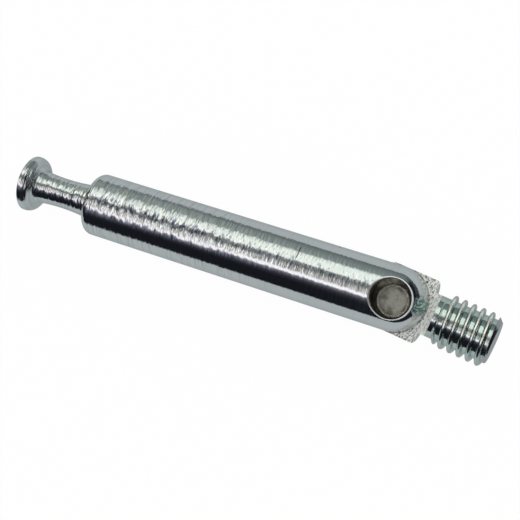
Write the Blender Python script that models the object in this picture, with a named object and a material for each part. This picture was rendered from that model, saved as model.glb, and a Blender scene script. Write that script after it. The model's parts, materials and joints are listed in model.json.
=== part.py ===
"""Hinge dowel for a mitred panel joint.

A turned steel dowel with a waisted neck and a button head for a cam housing. Its other end
carries a threaded stud on a half-lap hinge: each piece keeps one half of its round lug, and a
short rivet through both lugs holds them together, so the stud swings in the plane of the laps.

The dowel lies along X with the centre of its head's end face at the origin and the rivet along Z.
"""

import math

import bmesh
import bpy
from mathutils import Vector

MM = 0.001

# Shank
SHANK_DIAMETER = 7.0 * MM
SHOULDER_X = 8.33 * MM
SHOULDER_EDGE_RADIUS = 0.83 * MM
HINGE_X = 43.9 * MM

# Head
HEAD_DIAMETER = 6.3 * MM
HEAD_EDGE_RADIUS = 0.15 * MM
HEAD_RIM_LENGTH = 0.2 * MM
HEAD_BACK_RADIUS = 0.97 * MM
HEAD_BACK_SLOPE = math.radians(76.0)
HEAD_FILLET_RADIUS = 0.72 * MM

# Neck, one shallow arc between the head and the shoulder
NECK_WAIST_DIAMETER = 3.34 * MM
NECK_WAIST_X = 4.55 * MM
NECK_SWEEP_RADIUS = 24.0 * MM
NECK_ROOT_RADIUS = 0.3 * MM

# Rivet
PIN_DIAMETER = 3.0 * MM
RIVET_HEAD_OVERHANG = 0.4 * MM
RIVET_HEAD_DIAMETER = PIN_DIAMETER + 2 * RIVET_HEAD_OVERHANG
RIVET_HEAD_THICKNESS = 0.42 * MM
RIVET_HEAD_EDGE_RADIUS = 0.28 * MM
RIVET_SEAT_GAP = 0.03 * MM

# Half-lap hinge, both lugs
LAP_GAP = 0.06 * MM
WEB_THICKNESS = 0.9 * MM
PIN_CLEARANCE = 0.05 * MM
COUNTERBORE_CLEARANCE = 0.35 * MM
COUNTERBORE_DIAMETER = RIVET_HEAD_DIAMETER + 2 * COUNTERBORE_CLEARANCE
STUD_ANGLE = math.radians(-6.5)

# Stud lug, measured from the hinge axis: its round end sweeps past the step behind it
LUG_END_ALLOWANCE = 0.25 * MM
STUD_LUG_END_RADIUS = SHANK_DIAMETER / 2 + LUG_END_ALLOWANCE
LAP_STEP_CLEARANCE = 0.25 * MM
LAP_RELIEF = STUD_LUG_END_RADIUS + LAP_STEP_CLEARANCE
DOME_CLEARANCE = 0.15 * MM
STUD_LUG_LENGTH = SHANK_DIAMETER / 2 + DOME_CLEARANCE
STUD_LUG_EDGE_RADIUS = 0.3 * MM

# Stud neck and thread, measured from the hinge axis
FLAT_RUNOUT = 0.8 * MM
STUD_FLAT_LENGTH = STUD_LUG_LENGTH + FLAT_RUNOUT
NECK_PAST_FLAT = 0.6 * MM
THREAD_START = STUD_FLAT_LENGTH + NECK_PAST_FLAT
THREAD_LENGTH = 6.0 * MM
STUD_LENGTH = THREAD_START + THREAD_LENGTH
THREAD_DIAMETER = 5.7 * MM
THREAD_PITCH = 1.0 * MM
THREAD_DEPTH = 0.55 * THREAD_PITCH
THREAD_CREST_WIDTH = THREAD_PITCH / 8
THREAD_FLANK_ANGLE = math.radians(30.0)
THREAD_LEAD_LENGTH = 0.45 * MM
NECK_UNDERCUT = 0.025 * MM
STUD_NECK_DIAMETER = THREAD_DIAMETER - 2 * (THREAD_DEPTH + NECK_UNDERCUT)
CHAMFER_PAST_ROOT = 0.1 * MM
STUD_CHAMFER = THREAD_DEPTH + CHAMFER_PAST_ROOT

# Thread groove, a worm that starts in front of the thread and sinks in over its first turn
GROOVE_START_TURN = 0.21
GROOVE_SINK_TURNS = 1.0
GROOVE_OVERCUT = 0.04 * MM

# Finishes: colour and roughness
BODY_COLOUR = (0.74, 0.76, 0.77)
BODY_ROUGHNESS = 0.22
STUD_COLOUR = (0.70, 0.73, 0.72)
STUD_ROUGHNESS = 0.30
RIVET_COLOUR = (0.42, 0.40, 0.37)
RIVET_ROUGHNESS = 0.55

# Faceting
SEGMENTS = 48
CURVE_TOLERANCE = 0.005 * MM
CUT_MARGIN = 1.0 * MM
WELD_DISTANCE = 1e-7
SHARP_ANGLE = math.radians(30.0)

QUARTER = math.pi / 2


def clear_scene():
    for old in list(bpy.data.objects):
        bpy.data.objects.remove(old, do_unlink=True)


def steel(name, colour, roughness):
    """Principled metal finish."""
    material = bpy.data.materials.new(name)
    material.use_nodes = True
    shader = material.node_tree.nodes["Principled BSDF"]
    shader.inputs["Base Color"].default_value = (*colour, 1.0)
    shader.inputs["Roughness"].default_value = roughness
    shader.inputs["Metallic"].default_value = 1.0
    return material


def arc(centre, radius, start, end):
    """Points (x, r) on an arc, with angles measured from +X towards +R.

    The chords stay within the curve tolerance.
    """
    chord_angle = 2 * math.acos(1 - CURVE_TOLERANCE / radius)
    steps = math.ceil(abs(end - start) / chord_angle)
    angles = [start + (end - start) * i / steps for i in range(steps + 1)]
    return [(centre[0] + radius * math.cos(a), centre[1] + radius * math.sin(a)) for a in angles]


def direction_angle(origin, point):
    """Angle of the line from origin to point, measured from +X towards +R."""
    return math.atan2(point[1] - origin[1], point[0] - origin[0])


def sweep_centre():
    """Centre of the arc that makes the neck's waist."""
    return NECK_WAIST_X, NECK_WAIST_DIAMETER / 2 + NECK_SWEEP_RADIUS


def head_fillet_centre(flank):
    """Centre of the fillet that touches the head's back flank and runs into the neck's sweep."""
    along = Vector((math.cos(HEAD_BACK_SLOPE), -math.sin(HEAD_BACK_SLOPE)))
    outward = Vector((math.sin(HEAD_BACK_SLOPE), math.cos(HEAD_BACK_SLOPE)))
    offset_start = Vector(flank) + outward * HEAD_FILLET_RADIUS
    from_sweep = offset_start - Vector(sweep_centre())
    half_b = from_sweep.dot(along)
    c = from_sweep.length_squared - (NECK_SWEEP_RADIUS - HEAD_FILLET_RADIUS) ** 2
    travel = -half_b + math.sqrt(half_b ** 2 - c)
    return tuple(offset_start + along * travel)


def root_fillet_centre():
    """Centre of the fillet between the neck's sweep and the shoulder's face."""
    sweep_x, sweep_r = sweep_centre()
    centre_x = SHOULDER_X - NECK_ROOT_RADIUS
    drop = math.sqrt((NECK_SWEEP_RADIUS - NECK_ROOT_RADIUS) ** 2 - (centre_x - sweep_x) ** 2)
    return centre_x, sweep_r - drop


def head_and_neck_profile():
    """End edge, short rim, rounded back, waist and the shoulder's rounded edge."""
    head_r = HEAD_DIAMETER / 2
    shank_r = SHANK_DIAMETER / 2
    points = arc((HEAD_EDGE_RADIUS, head_r - HEAD_EDGE_RADIUS), HEAD_EDGE_RADIUS,
                 math.pi, QUARTER)
    back_start = HEAD_EDGE_RADIUS + HEAD_RIM_LENGTH
    points += arc((back_start, head_r - HEAD_BACK_RADIUS), HEAD_BACK_RADIUS,
                  QUARTER, QUARTER - HEAD_BACK_SLOPE)

    fillet = head_fillet_centre(points[-1])
    root = root_fillet_centre()
    sweep_start = direction_angle(sweep_centre(), fillet)
    sweep_end = direction_angle(sweep_centre(), root)
    points += arc(fillet, HEAD_FILLET_RADIUS, -QUARTER - HEAD_BACK_SLOPE, sweep_start)
    points += arc(sweep_centre(), NECK_SWEEP_RADIUS, sweep_start, sweep_end)[1:]
    points += arc(root, NECK_ROOT_RADIUS, sweep_end, 0.0)[1:]
    points += arc((SHOULDER_X + SHOULDER_EDGE_RADIUS, shank_r - SHOULDER_EDGE_RADIUS),
                  SHOULDER_EDGE_RADIUS, math.pi, QUARTER)
    return points


def body_profile():
    """Whole turned outline of the dowel, from the head's end face to the domed end."""
    shank_r = SHANK_DIAMETER / 2
    dome = arc((HINGE_X, 0.0), shank_r, QUARTER, 0.0)
    dome[-1] = (HINGE_X + shank_r, 0.0)
    return head_and_neck_profile() + dome


def stud_profile():
    """Turned outline of the stud about its own axis, with the hinge axis at x = 0."""
    lug_r = SHANK_DIAMETER / 2
    neck_r = STUD_NECK_DIAMETER / 2
    thread_r = THREAD_DIAMETER / 2
    corner_angle = math.pi - math.asin(lug_r / STUD_LUG_END_RADIUS)
    points = [(-STUD_LUG_END_RADIUS, 0.0)]
    points += arc((0.0, 0.0), STUD_LUG_END_RADIUS, math.pi, corner_angle)[1:]
    points += arc((STUD_LUG_LENGTH - STUD_LUG_EDGE_RADIUS, lug_r - STUD_LUG_EDGE_RADIUS),
                  STUD_LUG_EDGE_RADIUS, QUARTER, 0.0)
    points.append((STUD_LUG_LENGTH, neck_r))
    points.append((THREAD_START, neck_r))
    points.append((THREAD_START + THREAD_LEAD_LENGTH, thread_r))
    points.append((STUD_LENGTH - STUD_CHAMFER, thread_r))
    points.append((STUD_LENGTH, thread_r - STUD_CHAMFER))
    return points


def rivet_profile():
    """Outline of the rivet as (height, r): two equal heads on a short pin."""
    pin_r = PIN_DIAMETER / 2
    head_r = RIVET_HEAD_DIAMETER / 2
    seat = WEB_THICKNESS + RIVET_SEAT_GAP
    face = seat + RIVET_HEAD_THICKNESS
    edge_centre = (face - RIVET_HEAD_EDGE_RADIUS, head_r - RIVET_HEAD_EDGE_RADIUS)
    upper = arc(edge_centre, RIVET_HEAD_EDGE_RADIUS, 0.0, QUARTER)
    upper += [(seat, head_r), (seat, pin_r)]
    lower = [(-height, r) for height, r in reversed(upper)]
    return upper + lower


def turned_mesh(name, profile, axis, across):
    """Spin a profile of (along, r) points about axis; a flat facet faces along -across."""
    axis = Vector(axis)
    across = Vector(across)
    half_facet = math.pi / SEGMENTS
    outward = across * math.cos(half_facet) + axis.cross(across) * math.sin(half_facet)
    mesh = bpy.data.meshes.new(name)
    bm = bmesh.new()
    verts = [bm.verts.new(axis * along + outward * r) for along, r in profile]
    edges = [bm.edges.new(pair) for pair in zip(verts, verts[1:])]
    bmesh.ops.spin(bm, geom=verts + edges, cent=(0, 0, 0), axis=axis,
                   angle=2 * math.pi, steps=SEGMENTS)
    bmesh.ops.remove_doubles(bm, verts=bm.verts[:], dist=WELD_DISTANCE)
    open_edges = [edge for edge in bm.edges if edge.is_boundary]
    if open_edges:
        bmesh.ops.holes_fill(bm, edges=open_edges, sides=0)
    bmesh.ops.recalc_face_normals(bm, faces=bm.faces[:])
    bm.to_mesh(mesh)
    bm.free()
    return mesh


def add_object(name, mesh, material, location=(0, 0, 0), turn=0.0):
    """Link an object turned about Z at a place in the world."""
    obj = bpy.data.objects.new(name, mesh)
    bpy.context.scene.collection.objects.link(obj)
    obj.location = location
    obj.rotation_euler = (0, 0, turn)
    if material is not None:
        mesh.materials.append(material)
    mesh.shade_smooth()
    mesh.set_sharp_from_angle(angle=SHARP_ANGLE)
    return obj


def box_cutter(name, low, high):
    """Axis-parallel box between two corners."""
    mesh = bpy.data.meshes.new(name)
    bm = bmesh.new()
    bmesh.ops.create_cube(bm, size=1.0)
    size = Vector(high) - Vector(low)
    centre = (Vector(high) + Vector(low)) / 2
    for vert in bm.verts:
        vert.co = Vector(c * s for c, s in zip(vert.co, size)) + centre
    bm.to_mesh(mesh)
    bm.free()
    return add_object(name, mesh, None)


def stepped_hole_cutter(name, pocket_side):
    """Pin hole right through, with the rivet head's counterbore on one side (+1 up, -1 down)."""
    hole_r = PIN_DIAMETER / 2 + PIN_CLEARANCE
    pocket_r = COUNTERBORE_DIAMETER / 2
    reach = SHANK_DIAMETER / 2 + CUT_MARGIN
    profile = [(reach, pocket_r), (WEB_THICKNESS, pocket_r), (WEB_THICKNESS, hole_r),
               (-CUT_MARGIN, hole_r)]
    if pocket_side < 0:
        profile = [(-height, r) for height, r in profile]
    mesh = turned_mesh(name, profile, (0, 0, 1), (1, 0, 0))
    return add_object(name, mesh, None)


def thread_groove_section():
    """Corners (along, r) of the groove, with 30 degree flanks that run on past the crests."""
    half_width = (THREAD_PITCH - THREAD_CREST_WIDTH) / 2
    flank_slope = math.tan(THREAD_FLANK_ANGLE)
    root_half = half_width - THREAD_DEPTH * flank_slope
    open_half = half_width + GROOVE_OVERCUT * flank_slope
    root_r = THREAD_DIAMETER / 2 - THREAD_DEPTH
    open_r = THREAD_DIAMETER / 2 + GROOVE_OVERCUT
    return [(-root_half, root_r), (root_half, root_r), (open_half, open_r), (-open_half, open_r)]


def thread_groove_cutter():
    """Right-hand helical groove, swept with its corners over the turned facets' corners."""
    section = thread_groove_section()
    first_facet = round(GROOVE_START_TURN * SEGMENTS) + 0.5
    start = THREAD_START - THREAD_PITCH / 2
    turns = (STUD_LENGTH - start) / THREAD_PITCH + 0.5
    mesh = bpy.data.meshes.new("thread_groove_cutter")
    bm = bmesh.new()
    rings = []
    for step in range(math.ceil(turns * SEGMENTS) + 1):
        angle = 2 * math.pi * (first_facet + step) / SEGMENTS
        along = start + THREAD_PITCH * step / SEGMENTS
        lift = THREAD_DEPTH * max(0.0, 1 - step / (GROOVE_SINK_TURNS * SEGMENTS))
        rings.append([bm.verts.new((along + offset, (r + lift) * math.cos(angle),
                                    (r + lift) * math.sin(angle))) for offset, r in section])
    for near, far in zip(rings, rings[1:]):
        for i in range(len(section)):
            j = (i + 1) % len(section)
            bm.faces.new((near[i], near[j], far[j], far[i]))
    bm.faces.new(rings[0])
    bm.faces.new(rings[-1])
    bmesh.ops.triangulate(bm, faces=bm.faces[:])
    bmesh.ops.recalc_face_normals(bm, faces=bm.faces[:])
    bm.to_mesh(mesh)
    bm.free()
    return add_object("thread_groove_cutter", mesh, None)


def cut(target, cutter):
    """Subtract a hidden cutter that moves with its target."""
    cutter.parent = target
    cutter.hide_render = True
    cutter.display_type = "WIRE"
    modifier = target.modifiers.new(cutter.name, "BOOLEAN")
    modifier.operation = "DIFFERENCE"
    modifier.solver = "EXACT"
    modifier.object = cutter


def make_dowel_body():
    """Turned dowel whose domed end keeps only its upper half."""
    mesh = turned_mesh("dowel_body", body_profile(), (1, 0, 0), (0, 0, 1))
    body = add_object("dowel_body", mesh, steel("zinc_body", BODY_COLOUR, BODY_ROUGHNESS))
    reach = SHANK_DIAMETER / 2 + CUT_MARGIN
    cut(body, box_cutter("dowel_lap_cutter",
                         (HINGE_X - LAP_RELIEF, -reach, -reach),
                         (HINGE_X + reach, reach, LAP_GAP / 2)))
    hole = stepped_hole_cutter("dowel_hole_cutter", 1)
    hole.location = (HINGE_X, 0, 0)
    cut(body, hole)
    return body


def make_threaded_stud():
    """Threaded stud with a half-round lug below the lap plane; the flat runs on to the neck."""
    mesh = turned_mesh("threaded_stud", stud_profile(), (1, 0, 0), (0, 0, 1))
    stud = add_object("threaded_stud", mesh, steel("zinc_stud", STUD_COLOUR, STUD_ROUGHNESS),
                      (HINGE_X, 0, 0), STUD_ANGLE)
    reach = STUD_LUG_END_RADIUS + CUT_MARGIN
    cut(stud, box_cutter("stud_lap_cutter",
                         (-reach, -reach, -LAP_GAP / 2),
                         (STUD_FLAT_LENGTH, reach, reach)))
    cut(stud, stepped_hole_cutter("stud_hole_cutter", -1))
    cut(stud, thread_groove_cutter())
    return stud


def make_hinge_rivet():
    """Rivet through both lugs, sunk below the dowel's surface on both sides."""
    mesh = turned_mesh("hinge_rivet", rivet_profile(), (0, 0, 1), (1, 0, 0))
    return add_object("hinge_rivet", mesh, steel("rivet_steel", RIVET_COLOUR, RIVET_ROUGHNESS),
                      (HINGE_X, 0, 0))


def main():
    clear_scene()
    make_dowel_body()
    make_threaded_stud()
    make_hinge_rivet()


main()
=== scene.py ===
"""Looks of the hinge dowel: finely turned steel, a rolled thread, a set rivet and a plain studio.

Every length is in metres. Inside a material the coordinates are turned to the piece's own axes
and to millimetres first, so that the sizes of its patterns read as millimetres.
"""

import json
import math

import bmesh
import bpy
from bpy.props import FloatProperty, FloatVectorProperty, IntProperty, PointerProperty
from mathutils import Matrix, Vector, noise


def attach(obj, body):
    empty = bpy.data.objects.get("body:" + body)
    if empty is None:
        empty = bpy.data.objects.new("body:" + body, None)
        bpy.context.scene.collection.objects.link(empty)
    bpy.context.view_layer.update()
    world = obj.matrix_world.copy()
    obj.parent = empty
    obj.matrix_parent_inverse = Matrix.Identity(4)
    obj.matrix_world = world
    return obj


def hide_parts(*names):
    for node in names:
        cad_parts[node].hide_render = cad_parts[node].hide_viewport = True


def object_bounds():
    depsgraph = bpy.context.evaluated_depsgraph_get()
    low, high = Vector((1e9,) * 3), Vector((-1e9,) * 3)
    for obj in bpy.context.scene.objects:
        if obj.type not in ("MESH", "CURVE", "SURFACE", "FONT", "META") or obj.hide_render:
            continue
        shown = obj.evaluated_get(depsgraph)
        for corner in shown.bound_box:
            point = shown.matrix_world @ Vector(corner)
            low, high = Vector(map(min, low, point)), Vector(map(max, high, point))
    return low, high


bl_info = {
    "name": "Hinge Dowel",
    "version": (1, 0, 0),
    "blender": (4, 5, 0),
    "location": "3D View > Sidebar > Hinge Dowel",
    "description": "Builds a zinc plated hinge dowel with its threaded stud, rivet and studio",
    "category": "Object",
}

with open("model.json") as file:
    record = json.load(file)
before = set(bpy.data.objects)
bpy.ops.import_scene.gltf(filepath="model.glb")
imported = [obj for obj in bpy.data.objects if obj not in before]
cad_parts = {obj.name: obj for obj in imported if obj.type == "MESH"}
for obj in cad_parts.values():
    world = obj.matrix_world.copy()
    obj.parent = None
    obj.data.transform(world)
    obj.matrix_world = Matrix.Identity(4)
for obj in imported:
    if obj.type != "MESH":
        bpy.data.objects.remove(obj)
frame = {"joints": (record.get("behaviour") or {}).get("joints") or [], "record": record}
CAD_LOW, CAD_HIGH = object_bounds()

HINGE = Vector(frame["joints"][0]["pos_m"])
STUD_MOUNT = next(m for m in frame["record"]["mounts"] if m["name"] == "stud_end_face")
STUD_END = Vector(STUD_MOUNT["pos_m"])
STUD_TURN = math.atan2(STUD_MOUNT["axis"][1], STUD_MOUNT["axis"][0])
SHANK_RADIUS = CAD_HIGH.z
FLOOR_LEVEL = CAD_LOW.z

MM = 0.001
QUARTER = math.pi / 2
WELD = 2e-6
NO_RADIUS = 1e-7
DOUBLED = 1e-7
CUT_BEYOND = 1.0 * MM
CUT_MARGIN = 0.1 * MM
FLAG_LIFT = 0.1 * MM
FLOOR_DROP = 0.02 * MM

# In millimetres: two single marks on the dowel, measured from the middle of its head's end, and
# the radius about the hinge where the dowel's lug ends on the milled flat, along which a dark line
# of painted shade runs.
NICK = (37.0, 3.33, 1.07)
STAIN = (1.35, -0.75, 3.0)
LUG_EDGE_SHADE_LINE = 3.56

# The side of the counterbore that catches light, as a direction from the hinge; the wall away from
# it gets painted shade.
LIT_WALL = (-0.42, 0.91)


def length(name, description, default):
    """A length property in metres."""
    return FloatProperty(name=name, description=description, default=default,
                         precision=5, unit="LENGTH", subtype="DISTANCE")


def angle(name, description, degrees):
    """An angle property, given in degrees and kept in radians."""
    return FloatProperty(name=name, description=description, default=math.radians(degrees),
                         unit="ROTATION", subtype="ANGLE")


def share(name, description, default):
    """A plain number from zero to one."""
    return FloatProperty(name=name, description=description, default=default,
                         min=0.0, max=1.0, subtype="FACTOR")


def amount(name, description, default):
    """A plain number without a unit."""
    return FloatProperty(name=name, description=description, default=default)


def colour(name, description, default):
    """A linear colour."""
    return FloatVectorProperty(name=name, description=description, default=default,
                               size=3, min=0.0, max=2.0, subtype="COLOR")


class DowelSizes(bpy.types.PropertyGroup):
    """Outline of the turned dowel."""

    segments: IntProperty(name="Segments", description="Faces round the dowel", default=256)
    shank_radius: length("Shank radius", "Radius of the round shank", SHANK_RADIUS)
    shoulder_x: length("Shoulder", "Distance from the head's end to the shoulder", 8.33 * MM)
    shoulder_round: length("Shoulder rounding", "Radius of the shoulder's edge", 0.83 * MM)
    head_radius: length("Head radius", "Radius of the button head", 3.14 * MM)
    head_edge: length("Head edge", "Radius of the head's end edge", 0.15 * MM)
    head_rim: length("Head rim", "Straight length of the head's rim", 0.2 * MM)
    head_back: length("Head back", "Radius of the head's rounded back", 0.97 * MM)
    head_slope: angle("Head slope", "Slope of the flank behind the head", 76.0)
    head_fillet: length("Head fillet", "Radius between the flank and the neck", 0.72 * MM)
    waist_radius: length("Waist radius", "Smallest radius of the neck", 1.67 * MM)
    waist_x: length("Waist", "Distance from the head's end to the waist", 4.55 * MM)
    sweep_radius: length("Neck sweep", "Radius of the neck's long arc", 24.0 * MM)
    root_round: length("Root rounding", "Radius between the neck and the shoulder", 0.3 * MM)
    score_x: length("Score mark", "Distance from the head's end to the score mark", 33.5 * MM)
    score_width: length("Score width", "Width of the score mark", 0.22 * MM)
    score_depth: length("Score depth", "Depth of the score mark", 0.03 * MM)
    score_y: length("Score side", "Where the middle of the score mark lies", 0.9 * MM)
    score_reach: length("Score reach", "Half the length of the score mark", 1.1 * MM)


class LapSizes(bpy.types.PropertyGroup):
    """Hinge details that both lugs share."""

    gap: length("Lap gap", "Clearance between the two lugs", 0.06 * MM)
    relief: length("Step face", "Distance from the hinge to the dowel's step face", 4.0 * MM)
    web: length("Web", "Height of the counterbore's floor above the lap", 0.9 * MM)
    hole_radius: length("Hole radius", "Radius of the pin hole", 1.55 * MM)
    pocket_radius: length("Counterbore radius", "Radius of the counterbore", 2.13 * MM)
    pocket_off_x: length("Counterbore offset along", "Shift of the upper counterbore",
                         0.12 * MM)
    pocket_off_y: length("Counterbore offset across", "Shift of the upper counterbore",
                         -0.16 * MM)
    rim_break: length("Rim break", "Rounding of the counterbore's rim", 0.10 * MM)
    rim_stretch: share("Rim stretch", "How much wider the rim is along the dowel", 0.9)


class StudSizes(bpy.types.PropertyGroup):
    """Outline and thread of the stud, measured from the hinge axis."""

    segments: IntProperty(name="Segments", description="Faces round the stud", default=192)
    rings: IntProperty(name="Rings", description="Rings along the thread", default=210)
    reach: length("Stud length", "From the hinge axis to the stud's end",
                  (STUD_END - HINGE).length)
    lug_end_radius: length("Lug end radius", "Round end of the lug", 3.74 * MM)
    lug_length: length("Lug length", "Flat front of the lug", 3.65 * MM)
    lug_edge: length("Lug edge", "Rounding of the lug's front edge", 0.3 * MM)
    flat_length: length("Flat length", "Where the milled flat ends on the neck", 4.38 * MM)
    flat_lean: length("Flat lean", "How far the flat's end leans towards the thread", 0.33 * MM)
    neck_radius: length("Neck radius", "Radius of the neck and the thread's root", 2.27 * MM)
    thread_start: length("Thread start", "Where the thread starts", 5.05 * MM)
    thread_radius: length("Thread radius", "Radius over the crests", 2.84 * MM)
    pitch: length("Pitch", "Advance of the thread in one turn", 1.0 * MM)
    crest_half: length("Crest half width", "Half the width of a rounded crest", 0.31 * MM)
    root_softness: length("Root rounding", "How far the root is rounded", 0.12 * MM)
    lead: length("Thread lead", "Length over which the thread rises", 0.6 * MM)
    phase: length("Thread phase", "Shift of the crests along the stud", 0.83 * MM)
    chamfer: length("Chamfer", "Chamfer on the stud's end", 0.65 * MM)


class RivetSizes(bpy.types.PropertyGroup):
    """The rivet, with equal heads above and below."""

    segments: IntProperty(name="Segments", description="Faces round the rivet", default=96)
    pin_radius: length("Pin radius", "Radius of the rivet's pin", 1.5 * MM)
    head_radius: length("Head radius", "Radius of the rivet's head", 1.75 * MM)
    seat: length("Seat", "Height of the underside of the head above the lap", 0.93 * MM)
    face: length("Face", "Height of the head's face above the lap", 1.35 * MM)
    edge: length("Edge rounding", "Rounding of the head's edge", 0.25 * MM)
    unevenness: length("Unevenness", "Depth of the setting marks", 0.035 * MM)
    off_x: length("Offset along", "Shift of the upper head along the dowel", 0.18 * MM)
    off_y: length("Offset across", "Shift of the upper head across the dowel", -0.32 * MM)


class DowelFinish(bpy.types.PropertyGroup):
    """Colours and surface of the metal."""

    zinc: colour("Zinc", "Bright plating", (0.80, 0.825, 0.82))
    zinc_shade: colour("Zinc shade", "Plating in the tool marks", (0.52, 0.545, 0.55))
    thread_zinc: colour("Thread zinc", "Plating on the thread", (0.68, 0.76, 0.73))
    thread_shade: colour("Thread shade", "Plating in the thread's marks", (0.40, 0.50, 0.46))
    # Painted highlight: near-white tops of the thread's crests on their upper side.
    painted_crest_glint: colour("Worn crests", "Rubbed tops of the thread's crests", (1.0, 0.96, 0.86))
    milled: colour("Milled flat", "Grainy milled surface", (0.86, 0.88, 0.85))
    # Painted reflection: a greenish tone for the stud's thread mirrored in the domed end, and
    # painted glints for its bright ridges.
    painted_thread_reflection: colour("Scuffed", "Greenish scuff on the domed end", (0.15, 0.29, 0.27))
    painted_ridge_glint: colour("Glint", "Bright ridges in the scuff", (0.80, 1.0, 0.94))
    # Bluish patches of uneven plating, kept to a strip along the top of the shank where they also
    # paint dark specks into its reflection.
    blued_and_painted_reflection: colour("Blued", "Bluish patches along the top of the shank", (0.13, 0.15, 0.24))
    # Dark tone of the milled grain and the nick, also used as painted shade in the score mark,
    # along the lugs' meeting line and on the rim's side towards lower x.
    pits_and_painted_shade: colour("Pits", "Dark grain of the milled surface", (0.10, 0.10, 0.095))
    bored: colour("Bored wall", "Wall of the counterbore", (0.38, 0.38, 0.32))
    # Painted shade for the counterbore's unlit side.
    painted_wall_shade: colour("Grime", "Unlit side of the counterbore", (0.02, 0.02, 0.02))
    burnished: colour("Burnished edge", "Edge of the counterbore", (0.92, 0.92, 0.94))
    # Painted highlights: warm glints on the rivet's edge.
    painted_warm_glint: colour("Gilded", "Warm glints on the rivet's edge", (0.95, 0.88, 0.70))
    stain: colour("Stain", "Brownish spot on the head", (0.30, 0.24, 0.19))
    end_zinc: colour("End face", "Plating on the stud's end", (0.60, 0.59, 0.60))
    rivet: colour("Rivet", "Set face of the rivet", (0.40, 0.395, 0.345))
    rivet_shade: colour("Rivet shade", "Dark patches on the rivet", (0.17, 0.165, 0.14))
    polish: share("Polish", "Roughness of the bright plating", 0.09)
    mark_height: amount("Mark height", "Height of the broad tool marks in millimetres", 0.13)
    dent_height: amount("Dent height", "Height of the long waves in millimetres", 0.16)
    fine_height: amount("Fine height", "Height of the fine tool marks in millimetres", 0.002)


class StudioSettings(bpy.types.PropertyGroup):
    """Camera, lamps, flags and floor."""

    place: FloatVectorProperty(name="Camera place", description="Where the camera stands",
                               default=(0.06423, -0.00171, 0.11701), precision=5,
                               unit="LENGTH", subtype="TRANSLATION")
    aim: FloatVectorProperty(name="Camera aim", description="Point in the picture's centre",
                             default=(0.02884, -0.00045, 0.0), precision=5,
                             unit="LENGTH", subtype="TRANSLATION")
    roll: angle("Camera roll", "How far the dowel leans in the picture", 17.69)
    lens: FloatProperty(name="Lens", description="Focal length in millimetres", default=79.08,
                        unit="CAMERA")
    tent_radius: length("Tent radius", "Distance of the flags and lamps", 0.6)
    tent_left: length("Tent left", "Tent's end beyond the head", -0.75)
    tent_neck: length("Neck tones", "Where the neck's tones start to fade", -0.32)
    tent_far: length("Far tones", "Where the far tones start", -0.29)
    tent_turn: length("Tone change", "Where the far tones turn into the near ones", -0.21)
    tent_near: length("Near tones", "Where the near tones end", -0.06)
    tent_stud: length("Stud tones", "Where the stud's tones start", -0.03)
    panel: length("Panel", "Width of a panel in the tent's middle rows", 0.0115)
    dapple_far: share("Far dapple", "Contrast of the far panels", 0.9)
    dapple_near: share("Near dapple", "Contrast of the near panels", 0.9)
    tent_fade: length("Fade", "Where the stud tones start to fade to dark", 0.17)
    tent_dark: length("Dark end", "Where the tent is dark", 0.42)
    tent_right: length("Tent right", "Tent's end beyond the stud", 0.9)
    dark_floor: length("Dark floor", "Where the mirrored floor turns dark", 0.068)
    dark_side: length("Dark side", "Where the mirrored floor turns dark on the far side", 0.045)
    floor_size: length("Floor size", "Width of the floor", 4.0)
    floor_tone: colour("Floor tone", "Colour of the floor", (0.80, 0.80, 0.80))
    mirrored_floor: colour("Mirrored floor", "Floor as the metal shows it", (0.455, 0.49, 0.50))
    white_share: share("White share", "How far the floor goes to plain white", 0.97)
    room_light: share("Room light", "Strength of the world on dull surfaces", 0.80)
    softbox: colour("Softbox", "Light of the broad lamp", (1.0, 1.07, 1.0))
    strip: colour("Strip", "Light of the narrow lamp", (1.16, 1.10, 1.15))


class Wire:
    """A node's output whose arithmetic adds Math nodes to its sheet."""

    def __init__(self, sheet, socket):
        self.sheet = sheet
        self.socket = socket

    def __add__(self, other):
        return self.sheet.math("ADD", self, other)

    def __sub__(self, other):
        return self.sheet.math("SUBTRACT", self, other)

    def __mul__(self, other):
        return self.sheet.math("MULTIPLY", self, other)

    def __truediv__(self, other):
        return self.sheet.math("DIVIDE", self, other)

    def __rsub__(self, other):
        return self.sheet.math("SUBTRACT", other, self)

    def __rtruediv__(self, other):
        return self.sheet.math("DIVIDE", other, self)

    __radd__ = __add__
    __rmul__ = __mul__


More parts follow.
